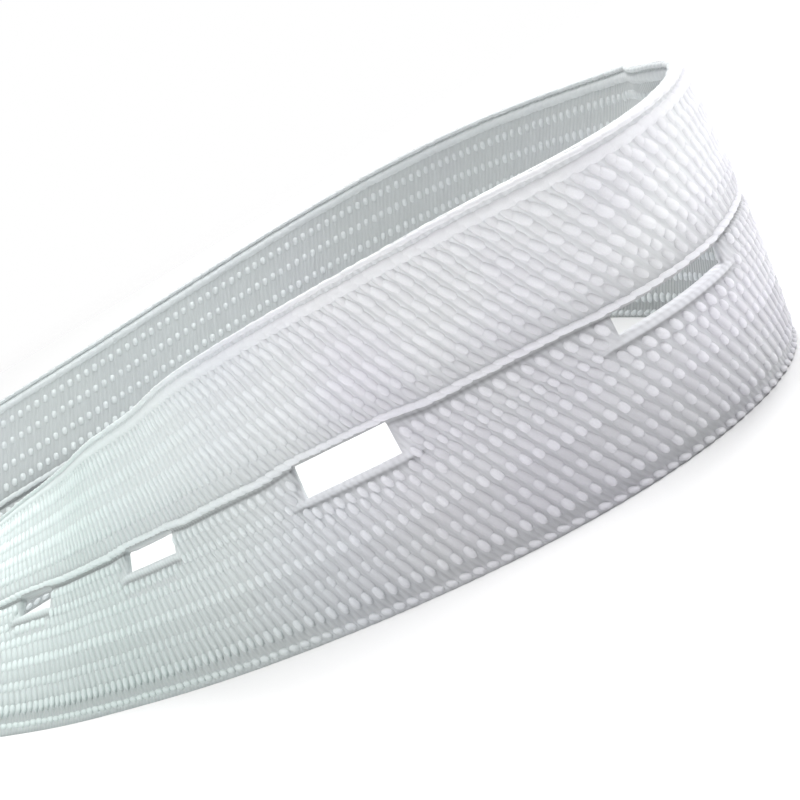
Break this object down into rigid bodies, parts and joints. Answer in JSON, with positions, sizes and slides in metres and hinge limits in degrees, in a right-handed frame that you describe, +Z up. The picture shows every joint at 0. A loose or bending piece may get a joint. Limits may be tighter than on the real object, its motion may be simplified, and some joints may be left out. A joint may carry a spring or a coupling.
{
  "type": "buttonhole elastic tape loop",
  "caption": "Length of white knitted buttonhole elastic tape standing on one edge in an open loop, with a row of slots between two of its ribs.",
  "frame": {"origin": "middle of the loop's bounding box in plan, on the surface that the foot edge stands on", "axes": "+X towards the closed, rounded end of the loop, +Y from the front run to the back run, +Z up from the foot edge to the top edge"},
  "size_m": [0.08, 0.0708, 0.02],
  "materials": {
    "white_elastic_knit": "matte ribbed knit"
  },
  "bodies": {
    "root": {"elastic_tape": "white_elastic_knit"}
  },
  "joints": []
}
